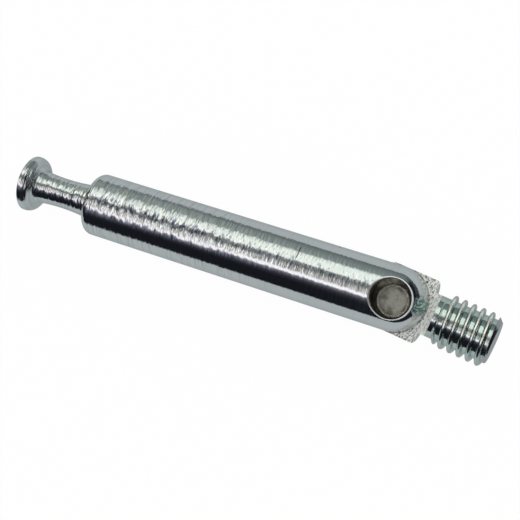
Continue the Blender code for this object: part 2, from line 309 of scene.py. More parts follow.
class Sheet:
    """One node tree, of a material, a world or a Geometry Nodes group."""

    def __init__(self, tree):
        self.tree = tree
        tree.nodes.clear()

    @classmethod
    def of_data(cls, data):
        """The empty sheet of a new material or world."""
        data.use_nodes = True
        return cls(data.node_tree)

    def add(self, kind, settings=None, inputs=None):
        """Adds any node: its settings first, then a value or a wire for each named socket."""
        node = self.tree.nodes.new(kind)
        for key, value in (settings or {}).items():
            setattr(node, key, value)
        for key, value in (inputs or {}).items():
            if isinstance(value, Wire):
                self.tree.links.new(value.socket, node.inputs[key])
            else:
                node.inputs[key].default_value = value
        return node

    def wire(self, kind, settings=None, inputs=None, output=0):
        """Adds a node and hands back one of its outputs."""
        return Wire(self, self.add(kind, settings, inputs).outputs[output])

    def math(self, operation, *values):
        """A Math node on values and wires."""
        return self.wire("ShaderNodeMath", {"operation": operation}, dict(enumerate(values)))

    def clamp(self, value):
        """The value, kept from 0 to 1."""
        return self.wire("ShaderNodeClamp", None, {"Value": value})

    def between(self, value, start, end):
        """0 before start and 1 after end, with a smooth step between them."""
        return self.wire("ShaderNodeMapRange", {"interpolation_type": "SMOOTHSTEP"},
                         {"Value": value, "From Min": start, "From Max": end})

    def band(self, value, start, full, fall, end):
        """0 outside start and end, 1 from full to fall, with smooth steps between them."""
        return self.between(value, start, full) * (1.0 - self.between(value, fall, end))

    def blend(self, factor, first, second):
        """A colour from first to second."""
        return self.wire("ShaderNodeMix", {"data_type": "RGBA"},
                         {0: factor, 6: opaque(first), 7: opaque(second)}, output=2)

    def noise(self, vector, stretch, detail=2.0, roughness=0.5):
        """Fractal noise from 0 to 1, with stretch as cycles per millimetre on each axis."""
        scaled = self.wire("ShaderNodeVectorMath", {"operation": "MULTIPLY"},
                           {0: vector, 1: stretch})
        return self.wire("ShaderNodeTexNoise", None,
                         {"Vector": scaled, "Scale": 1.0, "Detail": detail,
                          "Roughness": roughness})

    def split(self, vector):
        """The three numbers of a vector."""
        node = self.add("ShaderNodeSeparateXYZ", None, {0: vector})
        return [Wire(self, output) for output in node.outputs]

    def join(self, x, y, z):
        """A vector of three numbers."""
        return self.wire("ShaderNodeCombineXYZ", None, {"X": x, "Y": y, "Z": z})

    def bump(self, height):
        """Normal of a surface raised by height, in millimetres."""
        return self.wire("ShaderNodeBump", None,
                         {"Strength": 1.0, "Distance": MM, "Height": height})

    def distance(self, across, up):
        """Distance from the point where both values are zero."""
        return self.math("SQRT", across * across + up * up)

    def rays(self, *kinds):
        """1 for the named kinds of ray, such as Camera, and 0 for the others."""
        path = self.add("ShaderNodeLightPath")
        total = 0.0
        for kind in kinds:
            total = total + Wire(self, path.outputs[f"Is {kind} Ray"])
        return self.clamp(total)

    def emission(self, tone):
        """A surface that shines in one tone at strength 1."""
        return self.wire("ShaderNodeEmission", None, {"Color": opaque(tone), "Strength": 1.0})


def opaque(tone):
    """A plain colour gets an alpha, and a wire stays as it is."""
    return tone if isinstance(tone, Wire) else (*tone, 1.0)


class Metal:
    """A metal material under way, with coordinates in the piece's own axes, in millimetres."""

    def __init__(self, name, place=(0.0, 0.0, 0.0), turn=0.0):
        self.material = bpy.data.materials.new(name)
        self.sheet = Sheet.of_data(self.material)
        mapped = self.sheet.wire(
            "ShaderNodeMapping", {"vector_type": "TEXTURE"},
            {"Vector": self.sheet.wire("ShaderNodeTexCoord", output=3),
             "Location": place, "Rotation": (0.0, 0.0, turn), "Scale": (MM, MM, MM)})
        self.place = mapped
        self.x, self.y, self.z = self.sheet.split(mapped)

    def along_outline(self):
        """Coordinates that run along the turned outline first, over faces and shanks alike."""
        return self.sheet.join(self.x - self.sheet.distance(self.y, self.z), self.y, self.z)

    def spot(self, centre, inner, outer):
        """1 within the inner distance of a point on the piece, 0 beyond the outer one."""
        distance = self.sheet.wire("ShaderNodeVectorMath", {"operation": "DISTANCE"},
                                   {0: self.place, 1: centre}, output=1)
        return 1.0 - self.sheet.between(distance, inner, outer)

    def finish(self, colour_wire, roughness, normal, metallic=1.0):
        """The finished material."""
        shader = self.sheet.wire(
            "ShaderNodeBsdfPrincipled", None,
            {"Base Color": opaque(colour_wire), "Roughness": roughness,
             "Metallic": metallic, "Normal": normal})
        self.sheet.add("ShaderNodeOutputMaterial", None, {"Surface": shader})
        return self.material


def turned_zinc(finish, sizes):
    """Bright plating over turning marks, rougher on the head's side of the score mark, with
    painted shade in the score mark and a painted reflection on the domed end.
    """
    metal = Metal("turned_zinc")
    sheet = metal.sheet
    outline = metal.along_outline()
    broad = sheet.noise(outline, (3.2, 0.35, 0.35), detail=2.5, roughness=0.6)
    fine = sheet.noise(outline, (12.0, 1.1, 1.1), detail=2.0)
    grain = sheet.noise(metal.place, (16.0, 16.0, 16.0), detail=1.0)
    drift = sheet.noise(metal.place, (0.35, 0.25, 0.25), detail=1.0)

    score = sizes.score_x / MM
    hinge = HINGE.x / MM
    # The tool marks are deepest on the head's side and on the neck, and shallower on the dome
    # and down the sides of the shank.
    coarse_side = 1.0 - sheet.between(metal.x, score - 16.0, score + 1.0)
    necked_end = 1.0 - sheet.between(metal.x, 8.0, 11.0)
    domed_end = sheet.between(metal.x, hinge - 1.0, hinge + 1.0)
    facing = sheet.between(metal.y, -1.3, -0.3) * (1.0 - sheet.between(metal.y, 1.7, 2.5) * 0.6)
    strength = 0.65 + coarse_side * 0.45 + necked_end * 0.3 - domed_end * 0.5
    strength = strength * (0.35 + facing * 0.65)
    height = ((broad - 0.5) * finish.mark_height + (fine - 0.5) * finish.fine_height) * strength
    dents = sheet.noise(outline, (1.8, 0.5, 0.5), detail=1.0)
    height = height + (dents - 0.5) * finish.dent_height * (coarse_side * facing)
    height = height + (grain - 0.5) * 0.0012

    lines = sheet.noise(outline, (5.5, 0.22, 0.22), detail=2.0, roughness=0.65)
    streak = sheet.between(lines, 0.5, 0.66) * (0.15 + coarse_side * 0.75)
    tint = sheet.blend(streak * 0.6, finish.zinc, finish.zinc_shade)
    tint = sheet.blend(sheet.between(drift, 0.45, 0.75) * 0.25, tint, finish.thread_zinc)
    roughness = finish.polish + streak * 0.05 - domed_end * 0.03

    # Bluish dark patches of uneven plating, kept to a strip along the top of the shank, where they
    # also paint dark specks into the reflected tent.
    patches = sheet.noise(outline, (2.2, 0.9, 0.9), detail=3.0, roughness=0.65)
    middle = sheet.band(metal.y, -0.3, 0.1, 0.8, 1.3) * (1.0 - necked_end)
    patchy_painted_reflection = sheet.between(patches + coarse_side * 0.04, 0.53, 0.60) * middle
    tint = sheet.blend(patchy_painted_reflection * (0.55 + coarse_side * 0.3), tint, finish.blued_and_painted_reflection)

    nick = metal.spot(NICK, 0.07, 0.16)
    stain = metal.spot(STAIN, 0.2, 0.75) * sheet.between(broad, 0.35, 0.55)
    tint = sheet.blend(nick * 0.8, tint, finish.pits_and_painted_shade)
    # Painted shade: one side of the score mark, from 0.75 to 2.2 millimetres across the dowel,
    # gets the dark tone.
    from_score = sheet.math("ABSOLUTE", metal.x - score)
    painted_score_shade = (1.0 - sheet.between(from_score, 0.03, 0.10)) * sheet.band(metal.y, 0.75, 1.0,
                                                                       1.9, 2.2)
    tint = sheet.blend(painted_score_shade * 0.8, tint, finish.pits_and_painted_shade)
    tint = sheet.blend(stain * 0.8, tint, finish.stain)

    # Painted reflection: a greenish patch on the domed end's tip stands for the stud's thread
    # mirrored there, with painted glints on its ridges; the patch is also rougher and bumped.
    across = sheet.math("ABSOLUTE", metal.y + 0.1)
    on_tip = sheet.between(metal.x, hinge + 2.3, hinge + 2.6)
    scuff_and_reflection = (1.0 - sheet.between(across, 0.55, 1.0)) * on_tip
    scuff = sheet.noise(metal.place, (2.2, 5.0, 2.2), detail=3.0, roughness=0.6)
    painted_reflection_tone = sheet.blend(sheet.between(scuff, 0.52, 0.58), finish.painted_thread_reflection, finish.painted_ridge_glint)
    tint = sheet.blend(scuff_and_reflection * 0.9, tint, painted_reflection_tone)
    roughness = roughness + scuff_and_reflection * 0.08
    height = height + (scuff - 0.5) * scuff_and_reflection * 0.16
    return metal.finish(tint, roughness, sheet.bump(height))


def burnished_edge(finish):
    """Bright, softly rounded edge of a counterbore, darkened with painted shade on its side
    towards lower x.
    """
    metal = Metal("burnished_edge", HINGE)
    sheet = metal.sheet
    wear = sheet.noise(metal.place, (3.0, 3.0, 3.0), detail=2.0)
    tint = sheet.blend(sheet.between(wear, 0.5, 0.75) * 0.5, finish.burnished, finish.zinc_shade)
    # Painted shade: the rim's side towards lower x is darkened.
    tint = sheet.blend(0.75 - sheet.between(metal.x, -2.1, -0.9) * 0.75, tint, finish.pits_and_painted_shade)
    return metal.finish(tint, 0.2 + wear * 0.1, sheet.bump((wear - 0.5) * 0.01), 0.55)


def thread_zinc(finish, sizes):
    """Slightly green plating on the stud, with drawn marks along the turns and a painted highlight
    on the crests' upper side.
    """
    metal = Metal("thread_zinc", HINGE, STUD_TURN)
    sheet = metal.sheet
    outline = metal.along_outline()
    broad = sheet.noise(outline, (2.4, 0.7, 0.7), detail=2.0)
    fine = sheet.noise(outline, (10.0, 1.6, 1.6), detail=2.0)
    height = (broad - 0.5) * 0.03 + (fine - 0.5) * 0.004
    streak = sheet.between(fine, 0.5, 0.7)
    tint = sheet.blend(streak * 0.4, finish.thread_zinc, finish.thread_shade)
    end = (sizes.reach - sizes.chamfer) / MM
    end_side = sheet.between(metal.x, end + 0.1, end + 0.3)
    tint = sheet.blend(end_side * 0.8, tint, finish.end_zinc)
    radius = sheet.distance(metal.y, metal.z)
    crest = sizes.thread_radius / MM
    # Painted highlight: the crests' upper side, facing up and to one side, turns near-white and
    # less metallic.
    painted_crest_glint = sheet.between(radius, crest - 0.05, crest - 0.01) * sheet.between(metal.z, 0.9, 1.9)
    painted_crest_glint = painted_crest_glint * sheet.between(metal.y, -1.1, -0.1) * (1.0 - end_side)
    tint = sheet.blend(painted_crest_glint * 0.9, tint, finish.painted_crest_glint)
    return metal.finish(tint, 0.08 + streak * 0.08 + end_side * 0.12 + painted_crest_glint * 0.12,
                        sheet.bump(height), 1.0 - painted_crest_glint * 0.3)


def milled_flat(finish):
    """Grainy milled face with dark specks, and a dark line of painted shade where the other lug's
    edge ends.
    """
    metal = Metal("milled_flat", HINGE, STUD_TURN)
    sheet = metal.sheet
    slanted = sheet.join(metal.x - metal.y * 0.1, metal.y, metal.z)
    hatch = sheet.noise(slanted, (8.0, 2.2, 2.2), detail=2.0, roughness=0.6)
    grain = sheet.noise(metal.place, (9.0, 9.0, 9.0), detail=2.0, roughness=0.7)
    mixed = hatch * 0.6 + grain * 0.4
    on_neck = sheet.between(metal.x, 3.4, 3.8)
    pits_and_painted_shade = sheet.between(mixed, 0.5, 0.56) * (1.0 - on_neck * 0.5)
    tint = sheet.blend(pits_and_painted_shade * 0.95, finish.milled, finish.pits_and_painted_shade)
    # Painted shade: a dark line where the dowel's lug ends over the milled flat.
    shade_line_radius = LUG_EDGE_SHADE_LINE + (grain - 0.5) * 0.15
    off_shade_line = sheet.math("ABSOLUTE", sheet.distance(metal.x, metal.y) - shade_line_radius)
    tint = sheet.blend((1.0 - sheet.between(off_shade_line, 0.02, 0.07)) * 0.7, tint, finish.pits_and_painted_shade)
    return metal.finish(tint, 0.4, sheet.bump((mixed - 0.5) * -0.03), 0.45)


def bored_steel(finish):
    """Duller wall and floor of a counterbore, with rings from the cutter, one lit side and painted
    shade on the rest.
    """
    metal = Metal("bored_steel", HINGE)
    sheet = metal.sheet
    rings = sheet.noise(metal.place, (0.8, 0.8, 7.0), detail=2.0)
    dirt = sheet.noise(metal.place, (2.5, 2.5, 2.5), detail=3.0)
    tint = sheet.blend(sheet.between(dirt, 0.4, 0.7), finish.bored, finish.rivet_shade)
    # Painted shade: the wall away from LIT_WALL goes near black, with a ragged border.
    lit_side = metal.x * LIT_WALL[0] + metal.y * LIT_WALL[1] + (dirt - 0.5) * 0.6
    tint = sheet.blend(0.8 - sheet.between(lit_side, 1.1, 1.7) * 0.8, tint, finish.painted_wall_shade)
    return metal.finish(tint, 0.26 + dirt * 0.1, sheet.bump((rings - 0.5) * 0.02))


def set_steel(finish, sizes):
    """Matte, mottled face of the set rivet, with a darker, shinier edge and warm glints painted on
    as highlights.
    """
    metal = Metal("set_steel", HINGE)
    sheet = metal.sheet
    from_middle = sheet.distance(metal.x - sizes.off_x / MM, metal.y - sizes.off_y / MM)
    face_edge = (sizes.head_radius - sizes.edge) / MM
    edge = sheet.between(from_middle, face_edge - 0.05, face_edge + 0.12)
    patches = sheet.noise(metal.place, (1.1, 1.1, 1.1), detail=4.0, roughness=0.6)
    grain = sheet.noise(metal.place, (8.0, 8.0, 8.0), detail=3.0, roughness=0.65)
    tint = sheet.blend(sheet.between(patches, 0.38, 0.66), finish.rivet, finish.rivet_shade)
    tint = sheet.blend(sheet.between(grain, 0.6, 0.75) * 0.4, tint, finish.milled)
    tint = sheet.blend(edge * 0.6, tint, finish.bored)
    # Painted highlights: warm glints in specks round the head's edge.
    tint = sheet.blend(sheet.between(grain, 0.5, 0.56) * edge, tint, finish.painted_warm_glint)
    return metal.finish(tint, 0.62 - grain * 0.15 - edge * 0.2,
                        sheet.bump((grain - 0.5) * 0.05), 0.55 - edge * 0.2)


SCORE_STEPS = 8
FACE_RINGS = 8
SUPPORT_REACH = 0.12 * MM
LONG_RUN = 6 * SUPPORT_REACH
RIM_SEGMENTS = 192
RIM_STEPS = 6


def arc(centre, radius, start, end, steps):
    """Points (along, radius) on an arc, with angles measured from +X towards +R."""
    turns = [start + (end - start) * i / steps for i in range(steps + 1)]
    return [(centre[0] + radius * math.cos(a), centre[1] + radius * math.sin(a)) for a in turns]


def direction_angle(origin, point):
    """Angle from +X of the way from one point to another."""
    return math.atan2(point[1] - origin[1], point[0] - origin[0])


def neck_sweep(sizes):
    """Centre of the arc that makes the neck's waist."""
    return sizes.waist_x, sizes.waist_radius + sizes.sweep_radius


def head_fillet_centre(sizes, flank):
    """Centre of the fillet that touches the head's flank and runs into the neck's sweep."""
    along = Vector((math.cos(sizes.head_slope), -math.sin(sizes.head_slope)))
    outward = Vector((math.sin(sizes.head_slope), math.cos(sizes.head_slope)))
    start = Vector(flank) + outward * sizes.head_fillet
    from_sweep = start - Vector(neck_sweep(sizes))
    half_b = from_sweep.dot(along)
    c = from_sweep.length_squared - (sizes.sweep_radius - sizes.head_fillet) ** 2
    return tuple(start + along * (math.sqrt(half_b ** 2 - c) - half_b))


def root_fillet_centre(sizes):
    """Centre of the fillet between the neck's sweep and the shoulder's face."""
    sweep_x, sweep_r = neck_sweep(sizes)
    centre_x = sizes.shoulder_x - sizes.root_round
    reach = sizes.sweep_radius - sizes.root_round
    return centre_x, sweep_r - math.sqrt(reach ** 2 - (centre_x - sweep_x) ** 2)


def head_outline(sizes):
    """End face, edge, rim, rounded back, neck and the shoulder's rounded edge."""
    points = [(0.0, 0.0), (0.0, 0.5 * sizes.head_radius)]
    points += arc((sizes.head_edge, sizes.head_radius - sizes.head_edge), sizes.head_edge,
                  math.pi, QUARTER, steps=6)
    points += arc((sizes.head_edge + sizes.head_rim, sizes.head_radius - sizes.head_back),
                  sizes.head_back, QUARTER, QUARTER - sizes.head_slope, steps=16)
    sweep = neck_sweep(sizes)
    fillet = head_fillet_centre(sizes, points[-1])
    root = root_fillet_centre(sizes)
    sweep_start = direction_angle(sweep, fillet)
    sweep_end = direction_angle(sweep, root)
    points += arc(fillet, sizes.head_fillet, -QUARTER - sizes.head_slope, sweep_start,
                  steps=14)
    points += arc(sweep, sizes.sweep_radius, sweep_start, sweep_end, steps=24)[1:]
    points += arc(root, sizes.root_round, sweep_end, 0.0, steps=8)[1:]
    points += arc((sizes.shoulder_x + sizes.shoulder_round,
                   sizes.shank_radius - sizes.shoulder_round),
                  sizes.shoulder_round, math.pi, QUARTER, steps=14)
    return points


def score_outline(sizes):
    """A shallow score mark, as a dip that eases in and out."""
    points = []
    for i in range(SCORE_STEPS + 1):
        share_along = i / SCORE_STEPS
        dip = 0.5 - 0.5 * math.cos(2 * math.pi * share_along)
        points.append((sizes.score_x + (share_along - 0.5) * sizes.score_width,
                       sizes.shank_radius - sizes.score_depth * dip))
    return points


def dowel_outline(sizes):
    """The whole dowel from the head's end face to the domed end."""
    dome = arc((HINGE.x, 0.0), sizes.shank_radius, QUARTER, 0.0, steps=40)
    dome[-1] = (HINGE.x + sizes.shank_radius, 0.0)
    return head_outline(sizes) + score_outline(sizes) + dome


def lug_outline(sizes, shank_radius):
    """The stud's lug with its round end, and the neck up to the thread."""
    corner = math.pi - math.asin(shank_radius / sizes.lug_end_radius)
    points = [(-sizes.lug_end_radius, 0.0)]
    points += arc((0.0, 0.0), sizes.lug_end_radius, math.pi, corner, steps=30)[1:]
    points += arc((sizes.lug_length - sizes.lug_edge, shank_radius - sizes.lug_edge),
                  sizes.lug_edge, QUARTER, 0.0, steps=8)
    points.append((sizes.lug_length, sizes.neck_radius))
    points.append((sizes.thread_start, sizes.neck_radius))
    return points


def rivet_outline(sizes):
    """Heights and radii of the rivet, from the upper face to the lower one."""
    upper = [(sizes.face, sizes.head_radius * i / FACE_RINGS) for i in range(FACE_RINGS - 1)]
    upper += reversed(arc((sizes.face - sizes.edge, sizes.head_radius - sizes.edge),
                          sizes.edge, 0.0, QUARTER, steps=6))
    upper += [(sizes.seat, sizes.head_radius), (sizes.seat, sizes.pin_radius)]
    return upper + [(-height, radius) for height, radius in reversed(upper)]


def supported(points):
    """Adds points close to both ends of long straight runs, so that shading stays straight."""
    dense = [points[0]]
    for start, end in zip(points, points[1:]):
        run = math.dist(start, end)
        if run > LONG_RUN:
            for part in (SUPPORT_REACH / run, 1 - SUPPORT_REACH / run):
                dense.append((start[0] + (end[0] - start[0]) * part,
                              start[1] + (end[1] - start[1]) * part))
        dense.append(end)
    return dense


def lathe(name, outline, segments):
    """Turns (along, radius) points about X, and closes an end where the radius is zero."""
    turns = [2 * math.pi * i / segments for i in range(segments)]
    verts, faces, rings = [], [], []
    for along, radius in outline:
        first = len(verts)
        if radius < NO_RADIUS:
            verts.append((along, 0.0, 0.0))
        else:
            verts += [(along, radius * math.cos(a), radius * math.sin(a)) for a in turns]
        rings.append(range(first, len(verts)))
    for near, far in zip(rings, rings[1:]):
        for i in range(segments):
            j = (i + 1) % segments
            corners = (near[i % len(near)], near[j % len(near)],
                       far[j % len(far)], far[i % len(far)])
            faces.append(list(dict.fromkeys(corners)))
    mesh = bpy.data.meshes.new(name)
    mesh.from_pydata(verts, [], faces)
    return mesh


def shorten_score(mesh, sizes):
    """Lets the score mark fade out round the dowel, so that it stays a short mark on top."""
    for vert in mesh.vertices:
        if abs(vert.co.x - sizes.score_x) < sizes.score_width / 2:
            radius = math.hypot(vert.co.y, vert.co.z)
            off = (vert.co.y - sizes.score_y) / sizes.score_reach
            kept = max(1.0 - off * off, 0.0) if vert.co.z > 0 else 0.0
            wanted = sizes.shank_radius - (sizes.shank_radius - radius) * kept
            vert.co.y *= wanted / radius
            vert.co.z *= wanted / radius


def show(name, data):
    """An object in the scene that shows a mesh, a lamp or a camera."""
    obj = bpy.data.objects.new(name, data)
    bpy.context.scene.collection.objects.link(obj)
    return obj


def plain_mesh(name, bm, *materials):
    """The mesh that a bmesh holds, with its materials. The bmesh is freed."""
    mesh = bpy.data.meshes.new(name)
    bm.to_mesh(mesh)
    bm.free()
    for material in materials:
        mesh.materials.append(material)
    return mesh


def settled(obj):
    """The object's mesh with its modifiers worked in."""
    bpy.context.view_layer.update()
    graph = bpy.context.evaluated_depsgraph_get()
    mesh = bpy.data.meshes.new_from_object(obj.evaluated_get(graph), depsgraph=graph)
    obj.modifiers.clear()
    return mesh


def carve(piece, cutter):
    """Cuts the cutter out of the piece, which takes the cutter's material on the new faces."""
    modifier = piece.modifiers.new("cut", "BOOLEAN")
    modifier.operation = "DIFFERENCE"
    modifier.solver = "EXACT"
    modifier.material_mode = "TRANSFER"
    modifier.object = cutter
    piece.data = settled(piece)
    bpy.data.objects.remove(cutter)


def box_cutter(low, high, material, lean=0.0):
    """Box between two corners, whose far upper edge is moved outward by the lean."""
    bm = bmesh.new()
    bmesh.ops.create_cube(bm, size=1.0)
    size = Vector(high) - Vector(low)
    centre = (Vector(high) + Vector(low)) / 2
    for vert in bm.verts:
        vert.co = Vector(c * s for c, s in zip(vert.co, size)) + centre
        if vert.co.x > centre.x and vert.co.z > centre.z:
            vert.co.x += lean
    return show("box_cutter", plain_mesh("box_cutter", bm, material))


def lug_height(x, y, radius, end_radius, end_side):
    """Height of a lug's round surface, whose end is a ball on one side of the hinge."""
    height = math.sqrt(max(radius ** 2 - y ** 2, 0.0))
    if x * end_side > 0:
        height = min(height, math.sqrt(max(end_radius ** 2 - x ** 2 - y ** 2, 0.0)))
    return height


def rim_cutter(lap, shank_radius, end_radius, end_side, up, off_x, off_y, wall, rim):
    """Pin hole, counterbore and its rounded rim, which follows the lug's round surface."""
    def on_surface(radius, turn):
        return lug_height(radius * math.cos(turn) + off_x, radius * math.sin(turn) + off_y,
                          shank_radius, end_radius, end_side)

    levels = [(lap.hole_radius, 0.0, False, -CUT_BEYOND), (lap.hole_radius, 0.0, False, lap.web),
              (lap.pocket_radius, 0.0, False, lap.web)]
    rim_level = len(levels)
    for i in range(RIM_STEPS + 1):
        bend = QUARTER * i / RIM_STEPS
        levels.append((lap.pocket_radius, lap.rim_break * (1 - math.cos(bend)), True,
                       -lap.rim_break * (1 - math.sin(bend))))
    levels.append((lap.pocket_radius, lap.rim_break, False, shank_radius + CUT_BEYOND))

    bm = bmesh.new()
    rings = []
    for wall_radius, outward, follows, height in levels:
        ring = []
        for i in range(RIM_SEGMENTS):
            turn = 2 * math.pi * i / RIM_SEGMENTS
            radius = wall_radius + outward * (1 + lap.rim_stretch * math.cos(turn) ** 2)
            z = height + (on_surface(radius, turn) if follows else 0.0)
            ring.append(bm.verts.new((radius * math.cos(turn) + off_x,
                                      radius * math.sin(turn) + off_y, z * up)))
        rings.append(ring)
    for level, (near, far) in enumerate(zip(rings, rings[1:])):
        for i in range(RIM_SEGMENTS):
            j = (i + 1) % RIM_SEGMENTS
            face = bm.faces.new((near[i], near[j], far[j], far[i]))
            face.material_index = int(level >= rim_level)
    bm.faces.new(rings[0])
    bm.faces.new(rings[-1])
    bmesh.ops.recalc_face_normals(bm, faces=bm.faces[:])
    return show("rim_cutter", plain_mesh("rim_cutter", bm, wall, rim))


def close_shell(mesh):
    """Merges doubled points, and turns a shell whose volume is negative the right way round."""
    bm = bmesh.new()
    bm.from_mesh(mesh)
    bmesh.ops.remove_doubles(bm, verts=bm.verts[:], dist=DOUBLED)
    if bm.calc_volume(signed=True) < 0:
        bmesh.ops.reverse_faces(bm, faces=bm.faces[:])
    bm.to_mesh(mesh)
    bm.free()


def smooth(mesh, degrees):
    """Smooth shading, with sharp edges where faces meet at more than this angle."""
    mesh.shade_smooth()
    mesh.set_sharp_from_angle(angle=math.radians(degrees))


class HINGEDOWEL_OT_turned_dowel(bpy.types.Operator):
    """Turn the dowel with its head, neck and domed lug, and bore the rivet's seat"""

    bl_idname = "hinge_dowel.turned_dowel"
    bl_label = "Turned dowel"

    def execute(self, context):
        sizes = context.scene.dowel_sizes
        lap = context.scene.dowel_lap
        finish = context.scene.dowel_finish
        zinc = turned_zinc(finish, sizes)
        flat = milled_flat(finish)
        mesh = lathe("turned_dowel", supported(dowel_outline(sizes)), sizes.segments)
        shorten_score(mesh, sizes)
        mesh.materials.append(zinc)
        dowel = show("turned_dowel", mesh)

        beyond = sizes.shank_radius + CUT_BEYOND
        carve(dowel, box_cutter((HINGE.x - lap.relief, -beyond, -beyond),
                                (HINGE.x + beyond, beyond, lap.gap / 2), flat))
        bore = rim_cutter(lap, sizes.shank_radius, sizes.shank_radius, 1, 1,
                          lap.pocket_off_x, lap.pocket_off_y, bored_steel(finish),
                          burnished_edge(finish))
        bore.location = HINGE
        carve(dowel, bore)
        smooth(dowel.data, 35.0)
        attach(dowel, "dowel")
        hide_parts("dowel_body")
        return {"FINISHED"}


def thread_group():
    """Geometry Nodes: a tube whose radius follows a helical thread with a chamfered end."""
    group = bpy.data.node_groups.new("rolled_thread", "GeometryNodeTree")
    sheet = Sheet(group)
    lengths = ("Start", "Length", "Pitch", "Crest Radius", "Root Radius", "Crest Half",
               "Root Softness", "Lead", "Phase", "Chamfer")
    for name in lengths:
        group.interface.new_socket(name, in_out="INPUT", socket_type="NodeSocketFloat")
    for name in ("Rings", "Segments"):
        group.interface.new_socket(name, in_out="INPUT", socket_type="NodeSocketInt")
    group.interface.new_socket("Material", in_out="INPUT", socket_type="NodeSocketMaterial")
    group.interface.new_socket("Geometry", in_out="OUTPUT", socket_type="NodeSocketGeometry")
    given = sheet.add("NodeGroupInput")
    value = {output.name: Wire(sheet, output) for output in given.outputs if output.name}

    grid = sheet.wire("GeometryNodeMeshGrid", None,
                      {"Size X": 1.0, "Size Y": 1.0, "Vertices X": value["Rings"],
                       "Vertices Y": value["Segments"] + 1.0})
    u, v, _ = sheet.split(sheet.wire("GeometryNodeInputPosition"))
    along = value["Start"] + (u + 0.5) * value["Length"]
    turns = v + 0.5
    cycle = sheet.math("FRACT", (along - value["Phase"]) / value["Pitch"] - turns)
    from_crest = (0.5 - sheet.math("ABSOLUTE", cycle - 0.5)) * value["Pitch"]
    depth = value["Crest Radius"] - value["Root Radius"]
    off_crest = sheet.clamp(from_crest / value["Crest Half"])
    ridge = depth * sheet.math("SQRT", 1.0 - off_crest * off_crest)
    ridge = sheet.math("SMOOTH_MAX", ridge, 0.0, value["Root Softness"])
    rise = sheet.between((along - value["Start"]) / value["Lead"], 0.0, 1.0)
    past_chamfer = along - (value["Start"] + value["Length"] - value["Chamfer"])
    limit = value["Crest Radius"] - sheet.math("MAXIMUM", past_chamfer, 0.0)
    radius = sheet.math("MINIMUM", value["Root Radius"] + ridge * rise, limit)
    angle_round = turns * (2 * math.pi)
    position = sheet.join(along, radius * sheet.math("COSINE", angle_round),
                          radius * sheet.math("SINE", angle_round))

    tube = sheet.wire("GeometryNodeSetPosition", None, {"Geometry": grid, "Position": position})
    tube = sheet.wire("GeometryNodeMergeByDistance", None,
                      {"Geometry": tube, "Distance": WELD})
    tube = sheet.wire("GeometryNodeRealizeInstances", None, {"Geometry": tube})
    tube = sheet.wire("GeometryNodeSetMaterial", None,
                      {"Geometry": tube, "Material": value["Material"]})
    sheet.add("NodeGroupOutput", None, {"Geometry": tube})
    return group


def thread_mesh(sizes, material):
    """The threaded length of the stud as a plain mesh, open at both ends."""
    group = thread_group()
    values = {
        "Start": sizes.thread_start, "Length": sizes.reach - sizes.thread_start,
        "Pitch": sizes.pitch, "Crest Radius": sizes.thread_radius,
        "Root Radius": sizes.neck_radius, "Crest Half": sizes.crest_half,
        "Root Softness": sizes.root_softness, "Lead": sizes.lead, "Phase": sizes.phase,
        "Chamfer": sizes.chamfer,
        "Rings": sizes.rings, "Segments": sizes.segments, "Material": material,
    }
    guide = show("thread_guide", bpy.data.meshes.new("thread_guide"))
    modifier = guide.modifiers.new("thread", "NODES")
    modifier.node_group = group
    for item in group.interface.items_tree:
        if item.in_out == "INPUT":
            modifier[item.identifier] = values[item.name]
    mesh = settled(guide)
    bpy.data.objects.remove(guide)
    return mesh


class HINGEDOWEL_OT_threaded_stud(bpy.types.Operator):
    """Make the stud with its half-round lug, milled flat and rolled thread"""

    bl_idname = "hinge_dowel.threaded_stud"
    bl_label = "Threaded stud"

    def execute(self, context):
        sizes = context.scene.dowel_stud
        lap = context.scene.dowel_lap
        shank_radius = context.scene.dowel_sizes.shank_radius
        finish = context.scene.dowel_finish
        zinc = thread_zinc(finish, sizes)
        flat = milled_flat(finish)

        bm = bmesh.new()
        outline = supported(lug_outline(sizes, shank_radius))
        bm.from_mesh(lathe("lug", outline, sizes.segments))
        bm.from_mesh(thread_mesh(sizes, zinc))
        bmesh.ops.remove_doubles(bm, verts=bm.verts[:], dist=WELD)
        open_edges = [edge for edge in bm.edges if edge.is_boundary]
        bmesh.ops.holes_fill(bm, edges=open_edges, sides=0)
        bmesh.ops.recalc_face_normals(bm, faces=bm.faces[:])
        # The thread's faces come with the index of their tree's own slot.
        for face in bm.faces:
            face.material_index = 0
        stud = show("rolled_stud", plain_mesh("rolled_stud", bm, zinc))

        beyond = sizes.lug_end_radius + CUT_BEYOND
        carve(stud, box_cutter((-beyond, -beyond, -lap.gap / 2),
                               (sizes.flat_length, beyond, sizes.neck_radius + CUT_MARGIN),
                               flat, sizes.flat_lean))
        carve(stud, box_cutter((-beyond, -beyond, 0.0),
                               (sizes.lug_length + CUT_MARGIN, beyond, beyond), flat))
        carve(stud, rim_cutter(lap, shank_radius, sizes.lug_end_radius, -1, -1,
                               0.0, 0.0, bored_steel(finish), burnished_edge(finish)))
        close_shell(stud.data)
        stud.data.transform(Matrix.Translation(HINGE) @ Matrix.Rotation(STUD_TURN, 4, "Z"))
        smooth(stud.data, 40.0)
        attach(stud, "stud")
        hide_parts("threaded_stud")
        return {"FINISHED"}


# The setting marks come from noise, in cycles per metre, which is calmer towards the edge.
EDGE_NOISE = 900.0
FACE_NOISE = 700.0
FACE_NOISE_SHIFT = Vector((7.0, 3.0, 1.0))
EDGE_CALM = 0.3


